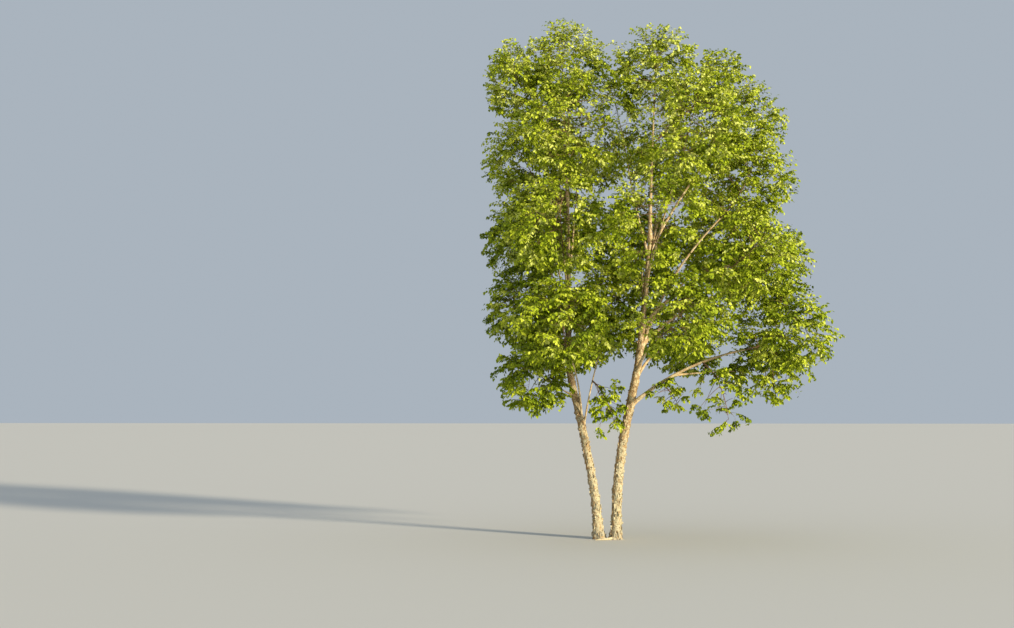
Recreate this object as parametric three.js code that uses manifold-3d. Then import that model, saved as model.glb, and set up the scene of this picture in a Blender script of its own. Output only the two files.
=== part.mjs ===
// A river birch grown as a clump: two stems from one root, 26 boughs, and a light crown of
// 31 masses of drooping foliage. Millimetres, +Z up, +X to the right and +Y away from the viewer.
// The origin is on the ground, under the middle of the thicker, right-hand stem.

import * as THREE from "three";
import { mergeVertices } from "three/addons/utils/BufferGeometryUtils.js";
import Module from "manifold-3d";

const wasm = await Module();
wasm.setup();

// Driving sizes
const GAP = 0.3; // between pieces that meet
const LIMB_CLEARANCE = 12; // kept by leaves and twigs round every limb
const SPACE_CLEARANCE = 3; // kept by each mass of foliage inside its own space
const BOUGH_TIP_SHARE = 0.42; // girth at a bough's tip, as a share of its girth at the root
const BOUGH_ENTRY = 0.72; // how far out from a mass's middle its bough ends, as a share of its reach
const TWIG_GIRTH = 30; // where a side twig leaves its leader
const SIDE_LEADER_GIRTH = 42; // where a leader leaves the side of a limb
const TWIG_TIP_GIRTH = 20;
const SIDE_TWIGS = 4; // in each mass
const TWIG_TRIES = 9; // a twig that meets a limb or leaves the space is skipped for the next
const TWIG_REACH = 0.5; // how far out a side twig ends, as a share of the mass's reach
// One blade stands for a whole spray of leaves. Its lengths are shares of its mass's half-size,
// tried in turn until one fits.
const BLADE_LENGTHS = [1.25, 1.1, 0.95, 0.8, 0.65, 0.5];
const BLADE_WIDTH = 0.85; // share of its length
const BLADE_THICKNESS = 0.014;
const BLADE_WIDEST = 0.45; // share of the length where a blade is widest
const BLADE_ROOT_DEPTH = 6; // how far a blade is sunk into its twig
const SAME_POINT = 0.05; // corners of a mass nearer than this are one
const GOLDEN_ANGLE = Math.PI * (3 - Math.sqrt(5));

// Root flare: a swelling all round, and ridges that run out over the ground like buttresses
const FLARE = { swell: 20, swellHeight: 190, ridgeHeight: 120, sharpness: 4 };

// Each stem by stations up its height, [height, x, y, girth across], and by its root ridges,
// [bearing, how far it runs out]
const STEMS = {
  right_stem: {
    stations: [
      [0, 0, 0, 240],
      [1000, 18, -6, 226],
      [2200, 150, -20, 216],
      [3200, 352, -30, 202],
      [4200, 545, -20, 176],
      [5600, 690, 0, 136],
      [6950, 820, 20, 98],
    ],
    ridges: [[175, 92], [242, 75], [318, 42], [25, 26], [98, 55]],
    bark: 0xd9c3a0,
  },
  left_stem: {
    stations: [
      [0, -415, 40, 222],
      [1000, -498, 60, 200],
      [2350, -742, 110, 190],
      [3200, -930, 140, 176],
      [3900, -1075, 165, 164],
      [5000, -1112, 190, 138],
      [6300, -1100, 200, 100],
    ],
    ridges: [[-5, 92], [70, 55], [140, 28], [215, 20], [290, 60]],
    bark: 0xd2bb98,
  },
};

// Each bough: the limb it grows from, where (a height on a stem, a share of a bough), how steeply
// it rises as it leaves, its girth there, and the middle and half-sizes of the foliage it carries.
// A row with no girth is foliage that grows straight from the side of its limb.
const CROWN = [
  { name: "low_right", on: "right_stem", at: 3080, rise: 42, girth: 92,
    middle: [3850, -350, 4820], half: [1450, 1300, 1080], droop: 0.75 },
  { name: "right_fork", on: "low_right_bough", at: 0.42, rise: 6, girth: 48,
    middle: [3600, 800, 3980], half: [1250, 1150, 950], droop: 0.95 },
  { name: "hanging_right", on: "low_right_bough", at: 0.66, rise: -30,
    middle: [2400, -620, 3150], half: [800, 800, 880], droop: 1.1 },
  { name: "hanging_inner", on: "low_right_bough", at: 0.3, rise: -30,
    middle: [1280, -250, 3320], half: [680, 600, 450], droop: 1.1 },
  { name: "far_right", on: "right_stem", at: 4450, rise: 48, girth: 78,
    middle: [3450, 500, 6330], half: [1370, 1300, 1280], droop: 0.7 },
  { name: "right", on: "right_stem", at: 4050, rise: 77, girth: 86,
    middle: [2950, -300, 8350], half: [1420, 1400, 1430], droop: 0.45 },
  { name: "right_spreading", on: "right_stem", at: 4900, rise: 52, girth: 74,
    middle: [2800, -1500, 6500], half: [1450, 1400, 1300], droop: 0.6 },
  { name: "right_back", on: "right_stem", at: 4700, rise: 50, girth: 76,
    middle: [2700, 1850, 7200], half: [1500, 1450, 1400], droop: 0.55 },
  { name: "right_top", on: "right_stem", at: 6950, rise: 88, girth: 92,
    middle: [950, -350, 10750], half: [1450, 1450, 1340], droop: 0.15 },
  { name: "upper_right", on: "right_stem", at: 6700, rise: 62, girth: 70,
    middle: [2750, 150, 9750], half: [1400, 1500, 1300], droop: 0.35 },
  { name: "right_shoulder", on: "right_top_bough", at: 0.72, rise: 45,
    middle: [2350, -200, 10500], half: [1080, 1250, 1000], droop: 0.25 },
  { name: "upper_inner", on: "right_stem", at: 6600, rise: 74, girth: 60,
    middle: [80, 0, 9850], half: [1330, 1350, 1480], droop: 0.35 },
  { name: "front_low", on: "right_stem", at: 3850, rise: 48, girth: 80,
    middle: [1350, -2300, 5130], half: [1500, 1450, 1150], droop: 0.8 },
  { name: "front", on: "right_stem", at: 5050, rise: 52, girth: 72,
    middle: [850, -2350, 7050], half: [1450, 1400, 1400], droop: 0.6 },
  { name: "front_high", on: "right_stem", at: 6100, rise: 56, girth: 62,
    middle: [1650, -1950, 9250], half: [1450, 1450, 1450], droop: 0.4 },
  { name: "back_low", on: "right_stem", at: 3600, rise: 48, girth: 82,
    middle: [1650, 2350, 4950], half: [1500, 1450, 1180], droop: 0.8 },
  { name: "back", on: "right_stem", at: 5250, rise: 54, girth: 72,
    middle: [650, 2400, 7050], half: [1450, 1400, 1400], droop: 0.55 },
  { name: "back_high", on: "right_stem", at: 6350, rise: 60, girth: 62,
    middle: [1500, 1900, 9400], half: [1450, 1450, 1450], droop: 0.4 },
  { name: "inner", on: "left_stem", at: 2480, rise: 82, girth: 50,
    middle: [-150, 150, 5350], half: [1250, 1300, 1250], droop: 0.6 },
  { name: "between", on: "inner_bough", at: 0.6, rise: -20,
    middle: [-170, -600, 2960], half: [500, 560, 880], droop: 1.1 },
  { name: "left_top", on: "left_stem", at: 6300, rise: 88, girth: 94,
    middle: [-1230, 450, 11080], half: [1200, 1400, 1360], droop: 0.15 },
  { name: "left_shoulder", on: "left_top_bough", at: 0.74, rise: 50,
    middle: [-2230, 300, 10820], half: [950, 1250, 1200], droop: 0.25 },
  { name: "left_upper", on: "left_top_bough", at: 0.34, rise: 40,
    middle: [-2050, 0, 8950], half: [1200, 1400, 1350], droop: 0.4 },
  { name: "left_fork", on: "left_stem", at: 6100, rise: 70, girth: 64,
    middle: [-1050, -1450, 9350], half: [1400, 1400, 1450], droop: 0.4 },
  { name: "low_left", on: "left_stem", at: 3330, rise: 18, girth: 56,
    middle: [-1880, -300, 3800], half: [1050, 1150, 1050], droop: 0.95 },
  { name: "left", on: "left_stem", at: 4250, rise: 52, girth: 70,
    middle: [-1980, -150, 5300], half: [1250, 1350, 1250], droop: 0.65 },
  { name: "left_high", on: "left_stem", at: 5550, rise: 56, girth: 60,
    middle: [-2000, 150, 7080], half: [1250, 1400, 1350], droop: 0.5 },
  { name: "left_front_low", on: "left_stem", at: 2560, rise: 81, girth: 50,
    middle: [-1150, -1980, 4950], half: [1450, 1400, 1180], droop: 0.8 },
  { name: "left_front", on: "left_stem", at: 5250, rise: 54, girth: 64,
    middle: [-1200, -1980, 7130], half: [1450, 1400, 1400], droop: 0.6 },
  { name: "left_back_low", on: "left_stem", at: 3650, rise: 48, girth: 72,
    middle: [-1150, 2080, 4950], half: [1450, 1450, 1180], droop: 0.8 },
  { name: "left_back", on: "left_stem", at: 4950, rise: 56, girth: 66,
    middle: [-1600, 2100, 7600], half: [1450, 1400, 1450], droop: 0.55 },
  { name: "left_back_high", on: "left_stem", at: 5950, rise: 64, girth: 60,
    middle: [-850, 1620, 9500], half: [1400, 1400, 1400], droop: 0.4 },
];

// Solids

function solidOf(geometry) {
  return new wasm.Manifold(
    new wasm.Mesh({
      numProp: 3,
      vertProperties: new Float32Array(geometry.attributes.position.array),
      triVerts: new Uint32Array(geometry.index.array),
    }),
  );
}

// Only the positions, so that shared corners merge.
function bare(geometry) {
  geometry.deleteAttribute("normal");
  geometry.deleteAttribute("uv");
  return mergeVertices(geometry);
}

// A closed cylinder whose rings are put in place one by one: place(share of length, angle, 1 on
// the skin or 0 on the axis) gives each point.
function sweep(sides, rings, place) {
  const geometry = bare(new THREE.CylinderGeometry(1, 1, 1, sides, rings));
  const position = geometry.attributes.position;
  for (let i = 0; i < position.count; i++) {
    const onSkin = Math.hypot(position.getX(i), position.getZ(i)) > 0.5 ? 1 : 0;
    const angle = Math.atan2(-position.getZ(i), position.getX(i));
    const point = place(position.getY(i) + 0.5, angle, onSkin);
    position.setXYZ(i, point.x, point.y, point.z);
  }
  return solidOf(geometry);
}

// A tapering round rod along a curve. grow makes it that much thicker, to cut its neighbours with.
function rod(curve, girth, tipGirth, sides, rings, grow = 0) {
  const frames = curve.computeFrenetFrames(rings);
  return sweep(sides, rings, (share, angle, onSkin) => {
    const ring = Math.round(share * rings);
    const radius = onSkin * (THREE.MathUtils.lerp(girth, tipGirth, share) / 2 + grow);
    return curve
      .getPointAt(share)
      .addScaledVector(frames.normals[ring], radius * Math.cos(angle))
      .addScaledVector(frames.binormals[ring], radius * Math.sin(angle));
  });
}

// Stems

// [x, y, girth] of a stem at a height, on a smooth line through its stations.
function stemAt(stations, height) {
  const last = stations.length - 2;
  const found = stations.findIndex((station) => height < station[0]) - 1;
  const k = found < 0 ? last : Math.min(found, last);
  const [before, from, to, after] = [k - 1, k, k + 1, k + 2].map(
    (i) => stations[THREE.MathUtils.clamp(i, 0, last + 1)],
  );
  const span = to[0] - from[0];
  const t = (height - from[0]) / span;
  return [1, 2, 3].map((i) => {
    const leaving = ((to[i] - before[i]) / (to[0] - before[0])) * span;
    const arriving = ((after[i] - from[i]) / (after[0] - from[0])) * span;
    return (
      (2 * t ** 3 - 3 * t ** 2 + 1) * from[i] +
      (t ** 3 - 2 * t ** 2 + t) * leaving +
      (3 * t ** 2 - 2 * t ** 3) * to[i] +
      (t ** 3 - t ** 2) * arriving
    );
  });
}

function flareAt(ridges, angle, height) {
  const ridge = ridges.reduce((sum, [bearing, run]) => {
    const facing = Math.max(0, Math.cos(angle - THREE.MathUtils.degToRad(bearing)));
    return sum + run * facing ** (2 * FLARE.sharpness);
  }, 0);
  return (
    FLARE.swell * Math.exp(-height / FLARE.swellHeight) +
    ridge * Math.exp(-height / FLARE.ridgeHeight)
  );
}

const STEM_SIDES = 16;
const STEM_RING_HEIGHTS = [0, 70, 170, 350, 800, 1500, 2200];
const STEM_RING_STEP = 800; // above those

function stemSolid({ stations, ridges }, grow = 0) {
  const top = stations[stations.length - 1][0];
  const heights = [...STEM_RING_HEIGHTS];
  while (heights[heights.length - 1] + STEM_RING_STEP < top) {
    heights.push(heights[heights.length - 1] + STEM_RING_STEP);
  }
  heights.push(top);
  const rings = heights.length - 1;
  return sweep(STEM_SIDES, rings, (share, angle, onSkin) => {
    const height = heights[Math.round(share * rings)];
    const [x, y, girth] = stemAt(stations, height);
    const radius = onSkin * (girth / 2 + flareAt(ridges, angle, height) + grow);
    return new THREE.Vector3(
      x + radius * Math.cos(angle),
      y + radius * Math.sin(angle),
      height,
    );
  });
}

// The two stems meet at the foot, on an upright plane halfway between them.
function meetAtFoot(solid, own, other) {
  const from = new THREE.Vector3(own.stations[0][1], own.stations[0][2], 0);
  const to = new THREE.Vector3(other.stations[0][1], other.stations[0][2], 0);
  const towards = from.clone().sub(to).normalize();
  const halfway = from.clone().add(to).multiplyScalar(0.5);
  return solid.trimByPlane(towards.toArray(), halfway.dot(towards) + GAP / 2);
}

// The space of each mass of foliage

const centres = CROWN.map((row) => new THREE.Vector3(...row.middle));
const weights = CROWN.map((row) => Math.cbrt(row.half[0] * row.half[1] * row.half[2]) ** 2);

// How far a mass's own space goes from its middle in a direction: to its rounded outline, or to the
// flat border with a neighbour where that is nearer.
function reach(k, direction) {
  const outline = 1 / direction.clone().divide(new THREE.Vector3(...CROWN[k].half)).length();
  return centres.reduce((least, centre, i) => {
    const apart = centre.clone().sub(centres[k]);
    const facing = direction.dot(apart);
    if (i === k || facing <= 0) return least;
    const border = (apart.lengthSq() + weights[k] - weights[i]) / 2;
    return Math.min(least, (border - SPACE_CLEARANCE * apart.length()) / facing);
  }, outline);
}

function inSpace(k, point) {
  const out = point.clone().sub(centres[k]);
  return out.length() < reach(k, out.clone().normalize());
}

// The point at a share of a mass's reach, on the side where another point lies.
function towards(k, point, share) {
  const direction = point.clone().sub(centres[k]).normalize();
  return centres[k].clone().addScaledVector(direction, share * reach(k, direction));
}

// Boughs

const limbs = new Map(); // name: { pointAt(place), solid, grown(by) }

for (const [name, stem] of Object.entries(STEMS)) {
  limbs.set(name, {
    pointAt: (height) => {
      const [x, y] = stemAt(stem.stations, height);
      return new THREE.Vector3(x, y, height);
    },
    grown: (by) => stemSolid(stem, by),
    solid: stemSolid(stem),
    bark: stem.bark,
  });
}

const [RIGHT, LEFT] = [STEMS.right_stem, STEMS.left_stem];
limbs.get("right_stem").solid = meetAtFoot(limbs.get("right_stem").solid, RIGHT, LEFT);
limbs.get("left_stem").solid = meetAtFoot(limbs.get("left_stem").solid, LEFT, RIGHT);

// A curve that leaves a point at a rise, towards another point.
function arc(from, to, rise) {
  const level = new THREE.Vector3(to.x - from.x, to.y - from.y, 0).normalize();
  const angle = THREE.MathUtils.degToRad(rise);
  const leaving = level.multiplyScalar(Math.cos(angle)).setZ(Math.sin(angle));
  const middle = from.clone().addScaledVector(leaving, 0.5 * from.distanceTo(to));
  return new THREE.QuadraticBezierCurve3(from, middle, to);
}

const BOUGH_SIDES = 6;
const BOUGH_RING_SPACING = 620;

function makeBough(row) {
  const parent = limbs.get(row.on);
  const from = parent.pointAt(row.at);
  const curve = arc(from, towards(CROWN.indexOf(row), from, BOUGH_ENTRY), row.rise);
  const rings = Math.max(4, Math.round(curve.getLength() / BOUGH_RING_SPACING));
  const tipGirth = row.girth * BOUGH_TIP_SHARE;
  const grown = (by) => rod(curve, row.girth, tipGirth, BOUGH_SIDES, rings, by);
  let solid = grown(0).subtract(parent.grown(GAP));
  for (const [name, limb] of limbs) {
    if (name === row.on) continue;
    const near = limb.grown(GAP);
    if (solid.intersect(near).isEmpty()) continue;
    if (name in STEMS) throw new Error(`${row.name}_bough runs into ${name}`);
    solid = solid.subtract(near);
  }
  limbs.set(`${row.name}_bough`, {
    pointAt: (share) => curve.getPointAt(share),
    grown,
    solid: largest(solid),
    tip: { point: curve.getPointAt(1), along: curve.getTangentAt(1), girth: tipGirth },
    bark: 0xb08a66,
  });
}

// Drops the scraps that a cut leaves.
function largest(solid) {
  return solid.decompose().sort((a, b) => b.volume() - a.volume())[0];
}

for (const row of CROWN) {
  if (row.girth) makeBough(row);
}

// Foliage

// The same run of numbers from 0 to 1 for the same seed.
function seeded(seed) {
  let state = 7919 * (seed + 1);
  return () => (state = (state * 48271) % 2147483647) / 2147483647;
}

// The stem that all twigs of a mass grow from: from its bough's tip through the middle, or out of
// the side of a limb.
const leaders = CROWN.map((row, k) => {
  const tip = limbs.get(`${row.name}_bough`)?.tip;
  const from = tip
    ? tip.point.clone().addScaledVector(tip.along, GAP)
    : limbs.get(row.on).pointAt(row.at);
  const end = towards(k, from, -TWIG_REACH);
  const rise = tip ? THREE.MathUtils.radToDeg(Math.asin(tip.along.z)) : row.rise;
  const curve = arc(from, end, rise);
  const girth = tip ? tip.girth : SIDE_LEADER_GIRTH;
  return { curve, grown: (by) => rod(curve, girth, TWIG_TIP_GIRTH, 3, 3, by) };
});

// One blade: a flat eight-faced leaf, from its root along a direction.
function blade(root, along, facing, length) {
  const side = along.clone().cross(facing).normalize();
  const face = side.clone().cross(along).normalize();
  const geometry = bare(new THREE.OctahedronGeometry(1));
  const position = geometry.attributes.position;
  for (let i = 0; i < position.count; i++) {
    const [x, y, z] = [position.getX(i), position.getY(i), position.getZ(i)];
    const share = Math.abs(x) > 0.5 ? (x + 1) / 2 : BLADE_WIDEST;
    const point = root
      .clone()
      .addScaledVector(along, share * length - BLADE_ROOT_DEPTH)
      .addScaledVector(face, (y * BLADE_THICKNESS * length) / 2)
      .addScaledVector(side, (z * BLADE_WIDTH * length) / 2);
    position.setXYZ(i, point.x, point.y, point.z);
  }
  return solidOf(geometry);
}

function fits(k, solid, limbsNear) {
  const corners = solid.getMesh().vertProperties;
  for (let i = 0; i < corners.length; i += 3) {
    if (!inSpace(k, new THREE.Vector3(...corners.slice(i, i + 3)))) return false;
  }
  return solid.intersect(limbsNear).isEmpty();
}

const DOWN = new THREE.Vector3(0, 0, -1);

// Side twigs reach out to points spread evenly over the far side of the mass. A fan of blades
// stands at the end of each: one to the left, one to the right and one straight on.
function growMass(k, limbsNear) {
  const random = seeded(k);
  const jitter = (size) => size * (2 * random() - 1);
  const { curve: leader } = leaders[k];
  const pole = centres[k].clone().sub(leader.getPointAt(0)).normalize();
  const turn = new THREE.Quaternion().setFromUnitVectors(new THREE.Vector3(0, 0, 1), pole);
  const phase = 2 * Math.PI * random();
  const pieces = [];
  const leaves = [];
  const addFan = (curve) => {
    for (const splay of [-1, 1, 0]) {
      const share = splay ? 0.74 : 0.97;
      const root = curve.getPointAt(share);
      const outward = root.clone().sub(centres[k]).normalize();
      const across = outward.clone().cross(DOWN).normalize();
      const direction = curve
        .getTangentAt(share)
        .multiplyScalar(splay ? 0.35 : 0.6)
        .addScaledVector(outward, 0.2)
        .addScaledVector(across, splay + jitter(0.25))
        .addScaledVector(DOWN, CROWN[k].droop * (splay ? 0.2 : 0.8) + jitter(0.2))
        .normalize();
      const facing = outward.add(new THREE.Vector3(jitter(0.4), jitter(0.4), jitter(0.3)));
      for (const length of BLADE_LENGTHS) {
        const leaf = blade(root, direction, facing, length * Math.sqrt(weights[k]));
        if (!fits(k, leaf, limbsNear)) continue;
        if (leaves.some((other) => !leaf.intersect(other).isEmpty())) continue;
        leaves.push(leaf);
        pieces.push(leaf);
        break;
      }
    }
  };
  let grown = 0;
  for (let i = 0; i < TWIG_TRIES && grown < SIDE_TWIGS; i++) {
    const height = 0.72 - (1.25 * (i % SIDE_TWIGS)) / (SIDE_TWIGS - 1);
    const round = phase + i * GOLDEN_ANGLE;
    const flat = Math.sqrt(1 - height * height);
    const direction = new THREE.Vector3(flat * Math.cos(round), flat * Math.sin(round), height);
    direction.applyQuaternion(turn);
    const end = centres[k].clone().addScaledVector(direction, TWIG_REACH * reach(k, direction));
    const root = leader.getPointAt(0.25 + 0.6 * (height + 0.53));
    const bend = root.clone().lerp(end, 0.5).addScaledVector(DOWN, -0.12 * root.distanceTo(end));
    const curve = new THREE.QuadraticBezierCurve3(root, bend, end);
    const twig = rod(curve, TWIG_GIRTH, TWIG_TIP_GIRTH, 3, 2);
    if (!fits(k, twig, limbsNear)) continue;
    pieces.push(twig);
    addFan(curve);
    grown += 1;
  }
  addFan(leader);
  return pieces;
}

const grownLimbs = wasm.Manifold.union(
  [...limbs.values()].map((limb) => limb.grown(LIMB_CLEARANCE)),
);
const foliage = CROWN.map((row, k) => {
  const others = leaders.filter((_, i) => i !== k).map((leader) => leader.grown(LIMB_CLEARANCE));
  const pieces = growMass(k, wasm.Manifold.union([grownLimbs, ...others]));
  let stem = leaders[k].grown(0);
  if (!row.girth) stem = largest(stem.subtract(limbs.get(row.on).grown(GAP)));
  return largest(wasm.Manifold.union([stem, ...pieces])).simplify(SAME_POINT);
});

// The tree

function meshOf(name, solid, colour, roughness) {
  const { numProp, vertProperties, triVerts } = solid.getMesh();
  const positions = new Float32Array((vertProperties.length / numProp) * 3);
  for (let i = 0; i * numProp < vertProperties.length; i++) {
    positions.set(vertProperties.subarray(i * numProp, i * numProp + 3), i * 3);
  }
  const geometry = new THREE.BufferGeometry();
  geometry.setAttribute("position", new THREE.BufferAttribute(positions, 3));
  geometry.setIndex(new THREE.BufferAttribute(new Uint32Array(triVerts), 1));
  geometry.computeVertexNormals();
  const material = new THREE.MeshStandardMaterial({ color: colour, roughness, metalness: 0 });
  const mesh = new THREE.Mesh(geometry, material);
  mesh.name = name;
  return mesh;
}

const tree = new THREE.Group();
tree.name = "river_birch";
for (const [name, limb] of limbs) tree.add(meshOf(name, limb.solid, limb.bark, 0.85));
CROWN.forEach((row, k) => {
  tree.add(meshOf(`${row.name}_foliage`, foliage[k], 0x7f9a2c, 0.6));
});

export default tree;
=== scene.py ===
import math

import bpy
import numpy as np
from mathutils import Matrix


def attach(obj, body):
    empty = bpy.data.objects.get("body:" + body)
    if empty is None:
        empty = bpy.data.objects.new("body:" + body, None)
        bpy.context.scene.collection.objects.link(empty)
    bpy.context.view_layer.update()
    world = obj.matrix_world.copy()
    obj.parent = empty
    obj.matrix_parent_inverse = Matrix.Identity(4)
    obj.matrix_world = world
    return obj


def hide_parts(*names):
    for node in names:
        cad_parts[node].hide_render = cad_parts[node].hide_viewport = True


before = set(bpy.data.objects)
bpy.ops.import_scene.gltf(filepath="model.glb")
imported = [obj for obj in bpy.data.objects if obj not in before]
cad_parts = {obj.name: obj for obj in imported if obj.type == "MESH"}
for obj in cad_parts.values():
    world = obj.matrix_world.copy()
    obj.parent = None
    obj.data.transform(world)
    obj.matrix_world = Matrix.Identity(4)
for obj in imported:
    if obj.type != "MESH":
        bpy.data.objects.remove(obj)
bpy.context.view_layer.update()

# The stems: two trunks from one root, pale and straight, leaning apart from the foot.
# Each swells into a root flare with a few ridges, and thins steadily to its fork.
# The bark of old wood stands in scales and lumps, and loosens in thin papery curls.
MM = 0.001
STEMS = {
    "right_stem": {
        # height, x, y and girth across, all in millimetres
        "stations": [
            (0, 0, 0, 240),
            (1000, 18, -6, 226),
            (2200, 150, -20, 216),
            (3200, 352, -30, 202),
            (4200, 545, -20, 176),
            (5600, 690, 0, 136),
            (6950, 820, 20, 98),
        ],
        "ridges": ((175, 92), (242, 75), (318, 42), (25, 26), (98, 55)),
    },
    "left_stem": {
        "stations": [
            (0, -415, 40, 222),
            (1000, -498, 60, 200),
            (2350, -742, 110, 190),
            (3200, -930, 140, 176),
            (3900, -1075, 165, 164),
            (5000, -1112, 190, 138),
            (6300, -1100, 200, 100),
        ],
        "ridges": ((-5, 92), (70, 55), (140, 28), (215, 20), (290, 60)),
    },
}
FLARE_SWELL, FLARE_SWELL_HEIGHT = 20 * MM, 190 * MM
FLARE_RIDGE_HEIGHT, FLARE_SHARPNESS = 120 * MM, 8
STEM_SIDES = 64
STEM_CUTS = 20, 21


def stem_at(stations, heights):
    """x, y and girth at some heights, on a smooth line through the stations, in metres."""
    table = np.array(stations) * MM
    k = np.clip(np.searchsorted(table[:, 0], heights, side="right") - 1, 0, len(table) - 2)
    before, start = table[np.maximum(k - 1, 0)], table[k]
    end, after = table[k + 1], table[np.minimum(k + 2, len(table) - 1)]
    span = end[:, :1] - start[:, :1]
    t = (heights[:, None] - start[:, :1]) / span
    leaving = (end - before) / (end[:, :1] - before[:, :1]) * span
    arriving = (after - start) / (after[:, :1] - start[:, :1]) * span
    line = (
        (2 * t**3 - 3 * t**2 + 1) * start
        + (t**3 - 2 * t**2 + t) * leaving
        + (3 * t**2 - 2 * t**3) * end
        + (t**3 - t**2) * arriving
    )
    return line[:, 1:]


def flare_at(ridges, angles, heights):
    """How far the foot stands out past the stem's own round, at some angles and heights."""
    bearings, runs = np.array(ridges).T
    facing = np.maximum(0, np.cos(angles[..., None] - np.radians(bearings)))
    ridge = (runs * MM * facing**FLARE_SHARPNESS).sum(-1)
    return FLARE_SWELL * np.exp(-heights / FLARE_SWELL_HEIGHT) + ridge * np.exp(
        -heights / FLARE_RIDGE_HEIGHT
    )


def ringed_cylinder(name, sides, *cuts):
    """A capped cylinder along Z from 0 to 1, its upright edges cut evenly, cut after cut."""
    bpy.ops.object.select_all(action="DESELECT")
    bpy.ops.mesh.primitive_cylinder_add(
        vertices=sides, radius=1, depth=1, location=(0, 0, 0.5), end_fill_type="TRIFAN"
    )
    piece = bpy.context.object
    piece.name = piece.data.name = name
    bpy.ops.object.transform_apply()
    for cut in cuts:
        bpy.ops.object.mode_set(mode="EDIT")
        bpy.ops.mesh.select_mode(type="EDGE")
        bpy.ops.mesh.select_all(action="DESELECT")
        bpy.ops.object.mode_set(mode="OBJECT")
        mesh = piece.data
        for edge in mesh.edges:
            low, high = (mesh.vertices[i].co.z for i in edge.vertices)
            edge.select = abs(high - low) > 1e-5
        bpy.ops.object.mode_set(mode="EDIT")
        bpy.ops.mesh.subdivide(number_cuts=cut)
        bpy.ops.object.mode_set(mode="OBJECT")
    return piece


def mesh_points(piece):
    points = np.empty(len(piece.data.vertices) * 3, np.float32)
    piece.data.vertices.foreach_get("co", points)
    return points.reshape(-1, 3).astype(float)


def set_points(piece, points):
    piece.data.vertices.foreach_set("co", points.astype(np.float32).ravel())
    piece.data.update()


def bark_relief(piece, kind, size, stretch, depth, sharp=1.0):
    """Presses a clouded or scaly relief into a piece, stretched along the height."""
    grain = bpy.data.textures.new(f"{piece.name}_{kind}", kind)
    grain.noise_scale = size
    grain.contrast = sharp
    if kind == "VORONOI":
        grain.weight_1, grain.weight_2 = -1.0, 1.0
    bpy.ops.object.empty_add(location=(0, 0, 0))
    ruler = bpy.context.object
    ruler.scale = (1, 1, stretch)
    bpy.context.view_layer.update()
    press = piece.modifiers.new(kind, "DISPLACE")
    press.texture = grain
    press.texture_coords = "OBJECT"
    press.texture_coords_object = ruler
    press.strength = depth
    press.mid_level = 0.5
    bpy.ops.object.select_all(action="DESELECT")
    bpy.context.view_layer.objects.active = piece
    piece.select_set(True)
    bpy.ops.object.modifier_apply(modifier=press.name)
    bpy.data.objects.remove(ruler)


SHADED_SIDE_BEARING = math.radians(184)  # the bearing away from the light, where the bark gets brown painted shade
SIDE_SHADE_NONE, SIDE_SHADE_FULL = 0.4, 0.7  # cosines of the angle from that bearing, where the painted shade starts and where it is full


def painted_side_shade(angles):
    """0 to 1 round a stem: how much brown painted shade the bark gets on the side away from the
    light.
    """
    facing = np.cos(angles - SHADED_SIDE_BEARING)
    return np.clip((facing - SIDE_SHADE_NONE) / (SIDE_SHADE_FULL - SIDE_SHADE_NONE), 0, 1)


# the painted side shade, laid on a piece's points for its bark to read
def lay_painted_side_shade(piece, amounts):
    layer = piece.data.attributes.new("painted_side_shade", "FLOAT", "POINT")
    layer.data.foreach_set("value", amounts.astype(np.float32))


# old brown bark, in a few patches all round and as brown painted shade on the side away from the
# light
OLD_BROWN_AND_SIDE_SHADE, MARK_BROWN = (0.40, 0.235, 0.095), (0.06, 0.033, 0.014)
PATCHES_GROW = 1.3, 2.7  # heights between which patches and flakes become commoner
PAPER_TO_TAN_AND_LIGHT, PAPER_TO_FOOT = (2.2, 4.4), (0.5, -0.2)  # heights where the paper turns tan and painted lighter, and where it turns to the foot's colour
# where each grain turns to its colour, and what height or the painted side shade adds to the grain
PATCH_EDGE, MORE_PATCHES = (0.51, 0.64), 0.09
# the flakes' grain turns to brown painted shade in the hollows
HOLLOW_SHADE_EDGE, MORE_FLAKES = (0.55, 0.68), 0.04
OLD_BROWN_AND_SHADE_EDGE, MORE_SIDE_SHADE = (0.66, 0.78), 0.25
MARK_EDGE = 0.62, 0.67
BARK_GLOSS, BARK_LIFT, BARK_LIFT_STRENGTH = 0.2, 0.008, 0.8


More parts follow.
